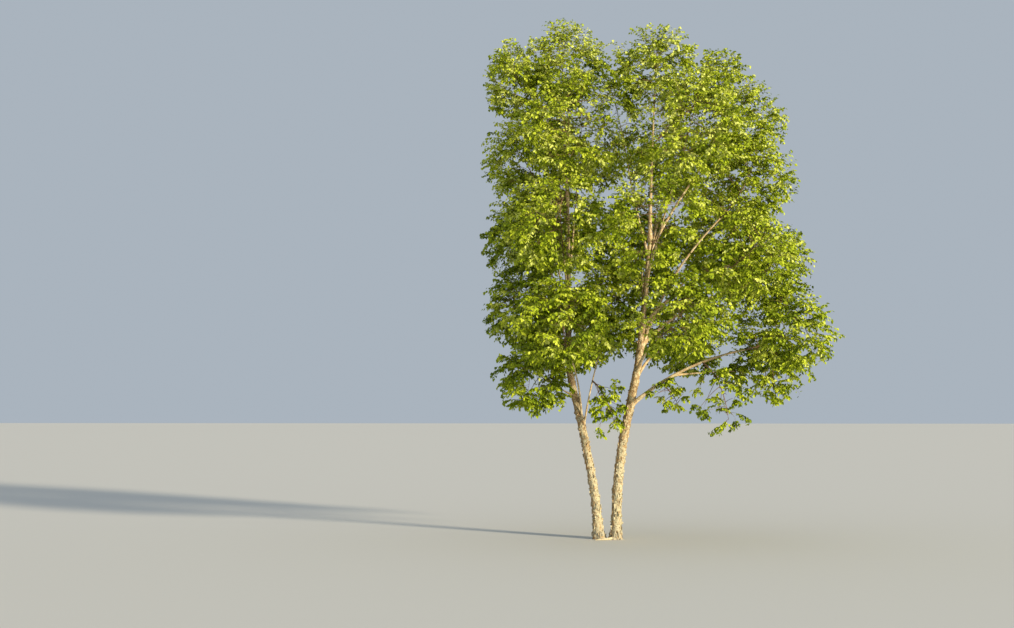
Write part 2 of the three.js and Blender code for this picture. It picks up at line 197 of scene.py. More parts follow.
def bark(name, paper, salmon, shade, tan_and_light_above, foot, patch, marks, rough):
    """Birch bark: pale paper peeled back to salmon, brown painted shade in the hollows, short dark
    marks.
    High up the paper turns tan and lighter, painted light where the crown shades the stems, and it
    has another colour at the foot. Old brown bark lies in a few patches, and is painted shade where
    the side shade is laid. patch is how many patches there are in a metre, and marks how common
    the marks are."""
    material = bpy.data.materials.new(name)
    material.use_nodes = True
    nodes, links = material.node_tree.nodes, material.node_tree.links
    shader = nodes["Principled BSDF"]
    shader.inputs["Roughness"].default_value = rough
    shader.inputs["Specular IOR Level"].default_value = BARK_GLOSS
    where = nodes.new("ShaderNodeTexCoord").outputs["Object"]

    def grain(scale, stretch, detail, rough_share=0.6, shift=0.0):
        lay = nodes.new("ShaderNodeMapping")
        lay.inputs["Scale"].default_value = (scale, scale, scale / stretch)
        lay.inputs["Location"].default_value = (shift, shift, shift)
        links.new(where, lay.inputs["Vector"])
        cloud = nodes.new("ShaderNodeTexNoise")
        cloud.inputs["Scale"].default_value = 1
        cloud.inputs["Detail"].default_value = detail
        cloud.inputs["Roughness"].default_value = rough_share
        links.new(lay.outputs["Vector"], cloud.inputs["Vector"])
        return cloud.outputs["Fac"]

    def ramp(source, low, high):
        between = nodes.new("ShaderNodeMapRange")
        between.interpolation_type = "SMOOTHSTEP"
        between.inputs["From Min"].default_value = low
        between.inputs["From Max"].default_value = high
        links.new(source, between.inputs["Value"])
        return between.outputs["Result"]

    def mix(amount, first, second):
        blend = nodes.new("ShaderNodeMix")
        blend.data_type = "RGBA"
        links.new(amount, blend.inputs["Factor"])
        for socket, colour in ((blend.inputs[6], first), (blend.inputs[7], second)):
            if isinstance(colour, tuple):
                socket.default_value = (*colour, 1)
            else:
                links.new(colour, socket)
        return blend.outputs[2]

    def more(base, extra, share):
        sum_up = nodes.new("ShaderNodeMath")
        sum_up.operation = "MULTIPLY_ADD"
        links.new(extra, sum_up.inputs[0])
        sum_up.inputs[1].default_value = share
        links.new(base, sum_up.inputs[2])
        return sum_up.outputs["Value"]

    height = nodes.new("ShaderNodeSeparateXYZ")
    links.new(where, height.inputs["Vector"])
    side_shade_layer = nodes.new("ShaderNodeAttribute")
    side_shade_layer.attribute_name = "painted_side_shade"
    high = ramp(height.outputs["Z"], *PATCHES_GROW)
    patches = grain(patch, stretch=1.5, detail=4, rough_share=0.62)
    patches = more(patches, high, MORE_PATCHES)
    flakes_and_hollow_shade = grain(patch * 2.6, stretch=1.4, detail=5, rough_share=0.7, shift=3.1)
    flakes_and_hollow_shade = more(flakes_and_hollow_shade, high, MORE_FLAKES)
    streaks = grain(patch * 1.9, stretch=0.55, detail=4, rough_share=0.62, shift=7.7)
    # old brown bark in a few patches, and brown painted shade where the side shade is laid
    old_brown_and_side_shade = grain(patch * 1.3, stretch=2.0, detail=4, shift=5.3)
    old_brown_and_side_shade = more(old_brown_and_side_shade, side_shade_layer.outputs["Fac"], MORE_SIDE_SHADE)
    # high up the paper turns tan and lighter: painted light where the crown shades the stems
    colour = mix(ramp(height.outputs["Z"], *PAPER_TO_TAN_AND_LIGHT), paper, tan_and_light_above)
    colour = mix(ramp(height.outputs["Z"], *PAPER_TO_FOOT), colour, foot)
    colour = mix(ramp(patches, *PATCH_EDGE), colour, salmon)
    # brown painted shade, where the flakes' grain is high
    colour = mix(ramp(flakes_and_hollow_shade, *HOLLOW_SHADE_EDGE), colour, shade)
    colour = mix(ramp(old_brown_and_side_shade, *OLD_BROWN_AND_SHADE_EDGE), colour, OLD_BROWN_AND_SIDE_SHADE)
    colour = mix(ramp(streaks, *(edge - marks for edge in MARK_EDGE)), colour, MARK_BROWN)
    links.new(colour, shader.inputs["Base Color"])
    lift = nodes.new("ShaderNodeBump")
    lift.inputs["Strength"].default_value = BARK_LIFT_STRENGTH
    lift.inputs["Distance"].default_value = BARK_LIFT
    links.new(flakes_and_hollow_shade, lift.inputs["Height"])
    links.new(lift.outputs["Normal"], shader.inputs["Normal"])
    return material


# its paper high up is tan and painted lighter, as light where the crown shades the stems
old_bark = bark(
    "old_bark", paper=(0.58, 0.52, 0.335), salmon=(0.42, 0.29, 0.145), shade=(0.25, 0.16, 0.08),
    tan_and_light_above=(0.76, 0.63, 0.38), foot=(0.44, 0.40, 0.30), patch=13, marks=0.045, rough=0.85
)
# kind, size, stretch, depth and sharpness: broad lumps, then scales, then fine grain
STEM_RELIEFS = (
    ("CLOUDS", 0.11, 1.6, 0.014, 1.0),
    ("VORONOI", 0.045, 1.8, 0.0055, 1.2),
    ("CLOUDS", 0.018, 1.3, 0.003, 1.3),
)
for name, stem in STEMS.items():
    top = stem["stations"][-1][0] * MM
    piece = ringed_cylinder(name + "_bark", STEM_SIDES, *STEM_CUTS)
    share = mesh_points(piece)
    heights = share[:, 2] * top
    angles = np.arctan2(share[:, 1], share[:, 0])
    line = stem_at(stem["stations"], heights)
    radius = np.hypot(share[:, 0], share[:, 1]) * (
        line[:, 2] / 2 + flare_at(stem["ridges"], angles, heights)
    )
    set_points(
        piece,
        np.stack(
            [line[:, 0] + radius * np.cos(angles), line[:, 1] + radius * np.sin(angles), heights],
            axis=1,
        ),
    )
    for relief in STEM_RELIEFS:
        bark_relief(piece, *relief)
    points = mesh_points(piece)
    points[share[:, 2] == 0, 2] = 0
    points[:, 2] = np.maximum(points[:, 2], 0)
    set_points(piece, points)
    # brown painted shade on the side of the stem away from the light
    lay_painted_side_shade(piece, painted_side_shade(angles))
    piece.data.materials.append(old_bark)
    bpy.ops.object.shade_smooth()
    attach(piece, "root")
    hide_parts(name)

# The surface root: one pale root that the rain has bared, in front of the gap between the feet.
# It leaves the right stem's flare, runs left along the ground and thins out where it dips under.
ROOT_LINE = np.array([(-0.06, -0.09, 0.034), (-0.20, -0.25, 0.026), (-0.50, -0.31, 0.002)])
ROOT_THICKNESS, ROOT_TIP_THICKNESS = 0.074, 0.026
ROOT_SIDES, ROOT_CUTS = 20, 23
ROOT_PALE = (0.66, 0.58, 0.39)
root_bark = bark(
    "root_bark", paper=ROOT_PALE, salmon=(0.50, 0.38, 0.22), shade=(0.36, 0.26, 0.15),
    tan_and_light_above=ROOT_PALE, foot=ROOT_PALE, patch=22, marks=-0.05, rough=0.8
)
piece = ringed_cylinder("surface_root", ROOT_SIDES, ROOT_CUTS)
share = mesh_points(piece)
t = share[:, 2:]
line = (1 - t) ** 2 * ROOT_LINE[0] + 2 * t * (1 - t) * ROOT_LINE[1] + t**2 * ROOT_LINE[2]
ahead = (1 - t) * (ROOT_LINE[1] - ROOT_LINE[0]) + t * (ROOT_LINE[2] - ROOT_LINE[1])
across = np.stack([-ahead[:, 1], ahead[:, 0]], axis=1) / np.hypot(ahead[:, :1], ahead[:, 1:2])
thick = (ROOT_THICKNESS + (ROOT_TIP_THICKNESS - ROOT_THICKNESS) * t) / 2
set_points(piece, line + thick * np.column_stack([share[:, :1] * across, share[:, 1]]))
bark_relief(piece, "CLOUDS", size=0.05, stretch=1.0, depth=0.010)
points = mesh_points(piece)
points[:, 2] = np.maximum(points[:, 2], 0)
set_points(piece, points)
piece.data.materials.append(root_bark)
bpy.ops.object.shade_smooth()
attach(piece, "root")

# The curls: loose sheets of outer bark on both stems, held at one upright edge.
# They are as thin as paper, ragged, and roll away from the trunk as they dry.
CURLS = 700  # on each stem
CURL_COLUMNS, CURL_ROWS = 4, 3
CURL_THICKNESS = 0.0016
CURL_LOWEST, CURL_RANGE, CURL_CROWDING = 0.04, 5.2, 1.3  # the more crowding, the lower
CURL_SIZE_LOW, CURL_SMALLER_UPWARD = 1.1, 0.09  # of the sizes below, less by so much a metre
CURL_LEAST_WIDTH, CURL_MORE_WIDTH = 0.014, 0.056
CURL_LEAST_HEIGHT, CURL_MORE_HEIGHT = 0.035, 0.085
CURL_LEAST_ROLL, CURL_MORE_ROLL = 0.2, 1.8  # radians
WIDE_CURLS_RARE, ROLLED_CURLS_RARE = 1.7, 1.6  # powers
CURL_RAGGED, CURL_NARROWING = 0.6, 0.75  # at most, shares that the free edge lacks
CURL_TORN, CURL_SLANT = 0.55, 0.5  # at most, shares that the free edge is out of line
CURL_EDGE_LIFT = 0.004
CURL_SET_IN = 0.003  # how deep the held edge sits in the bark
CURL_SIDE_SHADE_SHARE = 0.55  # share of the stem's own painted side shade


def joined_mesh(name, points, triangles, material):
    """One object from arrays of corners and triangles."""
    mesh = bpy.data.meshes.new(name)
    mesh.vertices.add(len(points))
    mesh.vertices.foreach_set("co", points.astype(np.float32).ravel())
    mesh.loops.add(triangles.size)
    mesh.loops.foreach_set("vertex_index", triangles.astype(np.int32).ravel())
    mesh.polygons.add(len(triangles))
    mesh.polygons.foreach_set("loop_start", np.arange(0, triangles.size, 3, dtype=np.int32))
    mesh.update(calc_edges=True)
    mesh.materials.append(material)
    piece = bpy.data.objects.new(name, mesh)
    bpy.context.scene.collection.objects.link(piece)
    return piece


def repeated(triangles, corners, count):
    """The same triangles for each of count equal groups of corners."""
    return (triangles[None] + (np.arange(count) * corners)[:, None, None]).reshape(-1, 3)


def unit(vectors):
    return vectors / np.maximum(np.linalg.norm(vectors, axis=-1, keepdims=True), 1e-9)


def curl_faces():
    """Triangles of one thin sheet: front, back and the rim that joins them."""
    front = np.arange(CURL_COLUMNS * CURL_ROWS).reshape(CURL_ROWS, CURL_COLUMNS)
    back = front + front.size
    faces = []
    for sheet, flip in ((front, False), (back, True)):
        squares = (sheet[:-1, :-1], sheet[:-1, 1:], sheet[1:, 1:], sheet[1:, :-1])
        for a, b, c, d in zip(*(corner.ravel() for corner in squares)):
            faces += [(a, c, b), (a, d, c)] if flip else [(a, b, c), (a, c, d)]
    rim = [*front[0, :-1], *front[:-1, -1], *front[-1, :0:-1], *front[:0:-1, 0]]
    for a, b in zip(rim, rim[1:] + rim[:1]):
        faces += [(a, a + front.size, b), (b, a + front.size, b + front.size)]
    return np.array(faces)


# the curls' paper high up is also tan and painted lighter, as light under the crown's shade
loose_bark = bark(
    "loose_bark", paper=(0.58, 0.53, 0.36), salmon=(0.46, 0.33, 0.18), shade=(0.32, 0.21, 0.115),
    tan_and_light_above=(0.72, 0.60, 0.37), foot=(0.45, 0.42, 0.32), patch=16, marks=-0.04, rough=0.8
)
random = np.random.default_rng(11)
sheets, curl_side_shades = [], []
for name, stem in STEMS.items():
    heights = CURL_LOWEST + CURL_RANGE * random.random(CURLS) ** CURL_CROWDING
    angles = 2 * math.pi * random.random(CURLS)
    line = stem_at(stem["stations"], heights)
    radius = line[:, 2] / 2 + flare_at(stem["ridges"], angles, heights) - CURL_SET_IN
    outward = np.stack([np.cos(angles), np.sin(angles), np.zeros(CURLS)], axis=1)
    side = random.choice([-1, 1], CURLS)[:, None] * np.cross([0, 0, 1], outward)
    held = np.stack([line[:, 0], line[:, 1], heights], axis=1) + outward * radius[:, None]
    scale = CURL_SIZE_LOW - CURL_SMALLER_UPWARD * heights
    width = CURL_LEAST_WIDTH + CURL_MORE_WIDTH * random.random(CURLS) ** WIDE_CURLS_RARE
    width = width * scale
    tall = (CURL_LEAST_HEIGHT + CURL_MORE_HEIGHT * random.random(CURLS)) * scale
    roll = CURL_LEAST_ROLL + CURL_MORE_ROLL * random.random(CURLS) ** ROLLED_CURLS_RARE
    u = np.linspace(0, 1, CURL_COLUMNS)[None, None, :]
    v = np.linspace(-0.5, 0.5, CURL_ROWS)[None, :, None]
    ragged = 1 - CURL_RAGGED * random.random((CURLS, CURL_ROWS, 1)) * u
    across = width[:, None, None] * u * ragged
    turn = roll[:, None, None] * u
    run = across * np.sinc(turn / math.pi)
    lift = across * np.sin(turn / 2) * np.sinc(turn / 2 / math.pi) + CURL_EDGE_LIFT * u
    torn = CURL_TORN * v * (random.random((CURLS, CURL_ROWS, CURL_COLUMNS)) - 0.5)
    narrowing = 1 - CURL_NARROWING * random.random((CURLS, 1, 1)) * u**1.5
    slant = CURL_SLANT * u * (random.random((CURLS, 1, 1)) - 0.5)
    up = tall[:, None, None] * (v * narrowing + torn + slant)
    front = (
        held[:, None, None]
        + run[..., None] * side[:, None, None]
        + lift[..., None] * outward[:, None, None]
        + (up * np.ones_like(run))[..., None] * np.array([0, 0, 1])
    )
    face = unit(
        outward[:, None, None] * np.cos(turn)[..., None]
        - side[:, None, None] * np.sin(turn)[..., None]
    )
    back = front - CURL_THICKNESS * face
    front[..., 2], back[..., 2] = np.maximum(front[..., 2], 0.002), np.maximum(back[..., 2], 0.001)
    sheets.append(np.concatenate([front.reshape(CURLS, -1, 3), back.reshape(CURLS, -1, 3)], axis=1))
    # the curls take part of their stem's painted side shade
    curl_side_shades.append(np.repeat(CURL_SIDE_SHADE_SHARE * painted_side_shade(angles), sheets[-1].shape[1]))
sheets = np.concatenate(sheets)
piece = joined_mesh(
    "bark_curls",
    sheets.reshape(-1, 3),
    repeated(curl_faces(), sheets.shape[1], len(sheets)),
    loose_bark,
)
lay_painted_side_shade(piece, np.concatenate(curl_side_shades))
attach(piece, "root")

# The boughs: each leaves its stem in a low collar, rises, and arches over as it thins.
# Their bark is thinner than on the stems, tan to salmon, with little relief.
# Each ends inside the mass of foliage that it carries.
CROWN = [
    # mass, limb, place on it, rise in degrees, girth, middle and half-sizes of the mass, droop
    ("low_right", "right_stem", 3080, 42, 92, (3850, -350, 4820), (1450, 1300, 1080), 0.75),
    ("right_fork", "low_right_bough", 0.42, 6, 48, (3600, 800, 3980), (1250, 1150, 950), 0.95),
    ("hanging_right", "low_right_bough", 0.66, -30, 0, (2400, -620, 3150), (800, 800, 880), 1.1),
    ("hanging_inner", "low_right_bough", 0.3, -30, 0, (1280, -250, 3320), (680, 600, 450), 1.1),
    ("far_right", "right_stem", 4450, 48, 78, (3450, 500, 6330), (1370, 1300, 1280), 0.7),
    ("right", "right_stem", 4050, 77, 86, (2950, -300, 8350), (1420, 1400, 1430), 0.45),
    ("right_spreading", "right_stem", 4900, 52, 74, (2800, -1500, 6500), (1450, 1400, 1300), 0.6),
    ("right_back", "right_stem", 4700, 50, 76, (2700, 1850, 7200), (1500, 1450, 1400), 0.55),
    ("right_top", "right_stem", 6950, 88, 92, (950, -350, 10750), (1450, 1450, 1340), 0.15),
    ("upper_right", "right_stem", 6700, 62, 70, (2750, 150, 9750), (1400, 1500, 1300), 0.35),
    ("right_shoulder", "right_top_bough", 0.72, 45, 0, (2350, -200, 10500), (1080, 1250, 1000), 0.25),
    ("upper_inner", "right_stem", 6600, 74, 60, (80, 0, 9850), (1330, 1350, 1480), 0.35),
    ("front_low", "right_stem", 3850, 48, 80, (1350, -2300, 5130), (1500, 1450, 1150), 0.8),
    ("front", "right_stem", 5050, 52, 72, (850, -2350, 7050), (1450, 1400, 1400), 0.6),
    ("front_high", "right_stem", 6100, 56, 62, (1650, -1950, 9250), (1450, 1450, 1450), 0.4),
    ("back_low", "right_stem", 3600, 48, 82, (1650, 2350, 4950), (1500, 1450, 1180), 0.8),
    ("back", "right_stem", 5250, 54, 72, (650, 2400, 7050), (1450, 1400, 1400), 0.55),
    ("back_high", "right_stem", 6350, 60, 62, (1500, 1900, 9400), (1450, 1450, 1450), 0.4),
    ("inner", "left_stem", 2480, 82, 50, (-150, 150, 5350), (1250, 1300, 1250), 0.6),
    ("between", "inner_bough", 0.6, -20, 0, (-170, -600, 2960), (500, 560, 880), 1.1),
    ("left_top", "left_stem", 6300, 88, 94, (-1230, 450, 11080), (1200, 1400, 1360), 0.15),
    ("left_shoulder", "left_top_bough", 0.74, 50, 0, (-2230, 300, 10820), (950, 1250, 1200), 0.25),
    ("left_upper", "left_top_bough", 0.34, 40, 0, (-2050, 0, 8950), (1200, 1400, 1350), 0.4),
    ("left_fork", "left_stem", 6100, 70, 64, (-1050, -1450, 9350), (1400, 1400, 1450), 0.4),
    ("low_left", "left_stem", 3330, 18, 56, (-1880, -300, 3800), (1050, 1150, 1050), 0.95),
    ("left", "left_stem", 4250, 52, 70, (-1980, -150, 5300), (1250, 1350, 1250), 0.65),
    ("left_high", "left_stem", 5550, 56, 60, (-2000, 150, 7080), (1250, 1400, 1350), 0.5),
    ("left_front_low", "left_stem", 2560, 81, 50, (-1150, -1980, 4950), (1450, 1400, 1180), 0.8),
    ("left_front", "left_stem", 5250, 54, 64, (-1200, -1980, 7130), (1450, 1400, 1400), 0.6),
    ("left_back_low", "left_stem", 3650, 48, 72, (-1150, 2080, 4950), (1450, 1450, 1180), 0.8),
    ("left_back", "left_stem", 4950, 56, 66, (-1600, 2100, 7600), (1450, 1400, 1450), 0.55),
    ("left_back_high", "left_stem", 5950, 64, 60, (-850, 1620, 9500), (1400, 1400, 1400), 0.4),
]
MIDDLES = np.array([row[5] for row in CROWN]) * MM
HALVES = np.array([row[6] for row in CROWN]) * MM
WEIGHTS = np.cbrt(HALVES.prod(1)) ** 2
SPACE_CLEARANCE = 3 * MM
BOUGH_TIP_SHARE = 0.42  # of its girth
BOUGH_ENTRY = 0.72  # how near the edge of its mass a bough ends, from the middle out
BOUGH_SIDES = 18
BOUGH_RING_STEP, BOUGH_MOST_RINGS = 0.03, 101
BOUGH_RELIEF = 0.10  # share of its girth
BOUGH_LUMPS, BOUGH_LUMP_STRETCH = 0.07, 1.5
COLLAR, COLLAR_LEVEL, COLLAR_LENGTH = 0.35, 0.1, 0.16
LIMB_SAMPLES, CURVE_SAMPLES = 60, 41


def reach(k, directions):
    """How far mass k's own space goes from its middle, to its outline or a neighbour's border."""
    outline = 1 / np.linalg.norm(directions / HALVES[k], axis=-1)
    others = [i for i in range(len(CROWN)) if i != k]
    apart = MIDDLES[others] - MIDDLES[k]
    distance = np.linalg.norm(apart, axis=1)
    border = (distance**2 + WEIGHTS[k] - WEIGHTS[others]) / 2 - SPACE_CLEARANCE * distance
    facing = directions @ apart.T
    limit = np.where(facing > 1e-6, border / np.maximum(facing, 1e-6), np.inf)
    return np.minimum(outline, limit.min(-1))


def towards(k, point, share):
    direction = unit(point - MIDDLES[k])
    return MIDDLES[k] + direction * share * reach(k, direction)


def arc(start, end, rise):
    """The three points of a curve that leaves start at a rise, towards end."""
    level = unit((end - start) * [1, 1, 0])
    leaving = level * math.cos(math.radians(rise)) + np.array([0, 0, math.sin(math.radians(rise))])
    return np.array([start, start + leaving * 0.5 * np.linalg.norm(end - start), end])


def along_curves(curves, shares):
    """Points and directions at some shares of the length of each curve: (curves, shares, 3)."""
    t = np.linspace(0, 1, CURVE_SAMPLES)
    a, b, c = (curves[:, None, i] for i in range(3))
    path = (1 - t[:, None]) ** 2 * a + 2 * t[:, None] * (1 - t[:, None]) * b + t[:, None] ** 2 * c
    steps = np.linalg.norm(np.diff(path, axis=1), axis=2)
    length = np.concatenate([np.zeros((len(curves), 1)), steps.cumsum(1)], axis=1)
    length /= length[:, -1:]
    shares = np.broadcast_to(shares, (len(curves), np.shape(shares)[-1]))
    t = np.stack([np.interp(s, row, t) for s, row in zip(shares, length)])[..., None]
    points = (1 - t) ** 2 * a + 2 * t * (1 - t) * b + t**2 * c
    return points, unit((1 - t) * (b - a) + t * (c - b))


def limb_frame(directions):
    """Two directions square to each of some directions that run along one limb."""
    mean = directions.mean(-2, keepdims=True)
    reference = np.where(np.abs(mean[..., 2:]) < 0.8, [0.0, 0.0, 1.0], [1.0, 0.0, 0.0])
    first = unit(np.cross(directions, reference))
    return first, np.cross(directions, first)


young_bark = bark(
    "young_bark", paper=(0.72, 0.62, 0.40), salmon=(0.58, 0.42, 0.22), shade=(0.33, 0.21, 0.11),
    tan_and_light_above=(0.74, 0.62, 0.39), foot=(0.41, 0.38, 0.29), patch=14, marks=-0.03, rough=0.75
)
bough_curves, stem_of = {}, {}
bough_pieces = {"right_boughs": [], "left_boughs": []}
limb_points, limb_radii = [], []
for name, stem in STEMS.items():
    heights = np.arange(0, stem["stations"][-1][0] * MM, 0.08)
    line = stem_at(stem["stations"], heights)
    limb_points.append(np.column_stack([line[:, :2], heights]))
    limb_radii.append(line[:, 2] / 2)


def place_on(limb, where):
    """A point inside a limb: millimetres up a stem, or a share of a bough's length."""
    if limb in STEMS:
        height = np.array([where * MM])
        return np.append(stem_at(STEMS[limb]["stations"], height)[0, :2], height)
    return along_curves(bough_curves[limb][None], [where])[0][0, 0]


for k, (mass, limb, where, rise, girth, *_) in enumerate(CROWN):
    if not girth:
        continue
    start = place_on(limb, where)
    curve = arc(start, towards(k, start, BOUGH_ENTRY), rise)
    name = mass + "_bough"
    bough_curves[name] = curve
    length = np.linalg.norm(np.diff(curve, axis=0), axis=1).sum()
    rings = min(round(length / BOUGH_RING_STEP), BOUGH_MOST_RINGS)
    piece = ringed_cylinder(name + "_wood", BOUGH_SIDES, rings - 1)
    share = mesh_points(piece)
    steps = np.linspace(0, 1, rings + 1)
    points, directions = along_curves(curve[None], steps)
    first, second = limb_frame(directions)
    ring = np.round(share[:, 2] * rings).astype(int)
    from_start = share[:, 2] * length
    thick = girth * MM / 2 * (1 + (BOUGH_TIP_SHARE - 1) * share[:, 2])
    collar = COLLAR * np.exp(-np.maximum(from_start - COLLAR_LEVEL, 0) / COLLAR_LENGTH)
    thick = thick * (1 + collar)
    set_points(
        piece,
        points[0, ring]
        + first[0, ring] * (share[:, :1] * thick[:, None])
        + second[0, ring] * (share[:, 1:2] * thick[:, None]),
    )
    bark_relief(
        piece, "CLOUDS", BOUGH_LUMPS, BOUGH_LUMP_STRETCH, depth=BOUGH_RELIEF * girth * MM
    )
    piece.data.materials.append(young_bark)
    bpy.ops.object.shade_smooth()
    stem_of[name] = limb if limb in STEMS else stem_of[limb]
    bough_pieces[stem_of[name].replace("stem", "boughs")].append((piece, name))
    samples, _ = along_curves(curve[None], np.linspace(0, 1, LIMB_SAMPLES))
    limb_points.append(samples[0])
    limb_radii.append(girth * MM / 2 * np.linspace(1, BOUGH_TIP_SHARE, LIMB_SAMPLES))
limb_points, limb_radii = np.concatenate(limb_points), np.concatenate(limb_radii)
for name, members in bough_pieces.items():
    bpy.ops.object.select_all(action="DESELECT")
    for piece, _ in members:
        piece.select_set(True)
    whole = members[0][0]
    bpy.context.view_layer.objects.active = whole
    bpy.ops.object.join()
    whole.name = whole.data.name = name
    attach(whole, "root")
    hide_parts(*[node for _, node in members])

# The twigs: in each mass one leader grows on from the bough's tip, side twigs reach out from it
# on all sides, sprays grow from those into every part of the mass, and short shoots from sprays.
# They are red-brown and wiry, and hang the more the lower they are in the crown.
TWIG_REACH, TWIG_REACH_SPREAD = 0.5, 0.28  # shares of the way from a mass's middle to its edge
SIDE_TWIGS = 16  # in each mass, on four levels from its top down
TOP_LEVEL, LEVELS_SPAN, LEVEL_SHIFT = 0.72, 1.25, 0.1  # shares of its half-size
SIDE_TWIG_ROOTS = 0.06, 0.97  # lowest and highest share of the leader's length
SIDE_TWIG_ARCH = 0.12  # share of its length
SPRAYS = 180  # in each full mass
FULL_MASS = 1.6  # root of the product of a full mass's half-sizes
SHOOTS = 5  # on each spray
SHOOT_LENGTH, SHOOT_LIMITS = 0.42, (0.17, 0.32)  # share of its spray, and least and most
SHOOT_LEAST_RUN = 0.05  # a shoot cut shorter than this by its space isn't grown
SPRAY_SCATTER = 0.06
# shares of the way from a mass's middle to its edge: the least, what chance adds, and its power
SPRAY_REACH, SPRAY_MORE_REACH, SPRAY_OUTWARD = 0.32, 0.665, 0.45
TOPMOST, TOPMOST_REACH = 0.9, 0.975  # sprays that point up more than that reach so far
# A spray grows from the twig that is near and heads its way, and not from too near.
ASKEW_COST, FORWARD_EASE, TOO_NEAR, TOO_NEAR_COST = 1.35, 0.6, 0.18, 2
SPRAY_LEAVING, SPRAY_ARCH, SPRAY_DROOP_ARCH = 0.14, 0.06, 0.12  # shares of its length
SHOOT_FORWARD, SHOOT_ASIDE, SHOOT_HANG, SHOOT_SCATTER = 0.6, 0.8, 0.3, 0.3
SHOOT_SAG = 0.12  # share of its length
SHOOT_SHADE_CHANGE = 0.16
BUD_LEADER_GIRTH = 42  # millimetres, where a mass has no bough of its own
LEADER_SAMPLES, LEADER_RADIUS = 24, 0.012
LIMB_CLEARANCE = 0.02
NEARBY = 1.4  # limbs further out than that, in half-sizes, can't touch a mass
GOLDEN_ANGLE = math.pi * (3 - math.sqrt(5))
DOWN = np.array([0.0, 0.0, -1.0])
# The sprays in a mass, as a share of what its size calls for.
FULLNESS = {
    "hanging_right": 0.28, "hanging_inner": 0.28, "between": 0.5, "low_left": 0.85,
    "right_fork": 0.72, "low_right": 0.92,
    "back": 1.15, "back_high": 1.15, "right_back": 1.15, "left_back": 1.15, "left_back_high": 1.15,
    "left_top": 1.25, "left_shoulder": 1.2, "right_top": 1.1, "right_shoulder": 1.1,
    "left_front": 1.15, "left_high": 1.1, "inner": 1.15, "right": 1.08, "far_right": 1.08,
}
HANGING = ("hanging_right", "hanging_inner", "between")  # fuller above than below
HANGING_FULLER_ABOVE = 1.7
# Sprays above this height get lighter, yellower greens and those below darker ones, by so much a
# metre: painted light and shade.
SHADE_LEVEL, PAINTED_LIGHT_UPWARD = 7.0, 0.055
# Where the crown is open: the middle of the place, its half-sizes, and the share of sprays kept.
# The places rise to the back, as seen from EYE_HEIGHT in front.
THIN_PLACES = [
    ((-0.35, 0.0, 9.85), (0.80, 6.0, 0.85), 0.38),
    ((0.80, 0.0, 9.9), (0.55, 6.0, 0.80), 0.38),
    ((1.95, 0.0, 9.7), (0.50, 6.0, 0.45), 0.45),
    ((2.30, -1.3, 7.5), (1.50, 0.9, 0.60), 0.70),
    ((4.45, 0.8, 3.35), (0.45, 3.0, 0.35), 0.25),
    ((3.35, 0.8, 3.25), (0.30, 3.0, 0.45), 0.25),
    ((2.75, 0.5, 4.35), (0.35, 3.0, 0.25), 0.30),
    ((-1.10, -2.2, 7.2), (0.25, 2.1, 1.10), 0.25),
]
EYE_HEIGHT, EYE_DISTANCE = 3.0, 35.0
# Limbs that show through the leaves: from and to (millimetres up a stem, or shares of a bough),
# and the shares of leaves kept in the lanes that run from the limb to the viewer and to the light.
OPEN_LIMBS = [
    ("right_stem", 4250, 4900, 0.15, 0.15),
    ("right_spreading_bough", 0.04, 0.30, 0.45, 0.6),
    ("right_stem", 5800, 6950, 0.30, 0.30),
    ("right_top_bough", 0.0, 0.4, 0.35, 0.35),
    ("right_bough", 0.62, 0.97, 0.12, 0.12),
    ("upper_right_bough", 0.12, 0.55, 0.20, 0.20),
    ("left_stem", 2300, 3300, 0.80, 0.55),
    ("left_stem", 3500, 3900, 0.80, 0.45),
    ("left_stem", 5800, 6300, 0.8, 0.7),
]
LANE_HALF_WIDTH, LANE_STEPS = 0.18, 12
LIGHT_BEARING, LIGHT_HEIGHT = math.radians(52), math.radians(13)


def seeded(seed):
    """The same run of numbers from 0 to 1 for the same seed."""
    state = 7919 * (seed + 1)
    while True:
        state = state * 48271 % 2147483647
        yield state / 2147483647


def in_space(k, points):
    """True for each point in mass k's own space."""
    out = points - MIDDLES[k]
    return np.linalg.norm(out, axis=-1) < reach(k, unit(out))


def clear_of_limbs(points, near, radii):
    """True for each point that lies outside every limb near the mass."""
    flat = points.reshape(-1, 3)
    apart = np.linalg.norm(flat[:, None] - near[None], axis=2) - radii
    return (apart.min(1) > LIMB_CLEARANCE).reshape(points.shape[:-1])


open_lanes = []
for limb, low, high, seen, lit in OPEN_LIMBS:
    spots = np.array([place_on(limb, where) for where in np.linspace(low, high, LANE_STEPS)])
    to_eye = unit(np.array([0.0, -EYE_DISTANCE, EYE_HEIGHT]) - spots)
    to_light = np.array([
        math.sin(LIGHT_BEARING) * math.cos(LIGHT_HEIGHT),
        -math.cos(LIGHT_BEARING) * math.cos(LIGHT_HEIGHT),
        math.sin(LIGHT_HEIGHT),
    ]) * np.ones_like(spots)
    open_lanes += [(spots, to_eye, seen), (spots, to_light, lit)]


def kept_at(out, share):
    """What is kept in an opening: its share in the inner two thirds, rising to all at its edge."""
    return share + (1 - share) * np.clip(3 * out - 2, 0, 1)


def stays(points, draws):
    """True for each spray or leaf that the crown keeps: fewer in the thin places and the lanes."""
    kept = np.ones(len(points))
    for middle, half, share in THIN_PLACES:
        apart = points - middle
        apart[:, 2] -= (middle[2] - EYE_HEIGHT) / EYE_DISTANCE * (points[:, 1] - middle[1])
        kept = np.minimum(kept, kept_at(np.linalg.norm(apart / half, axis=1), share))
    for spots, way, share in open_lanes:
        apart = points[:, None] - spots
        forward = np.maximum((apart * way).sum(2), 0)
        out = np.linalg.norm(apart - forward[..., None] * way, axis=2).min(1)
        kept = np.minimum(kept, kept_at(out / LANE_HALF_WIDTH, share))
    return draws < kept


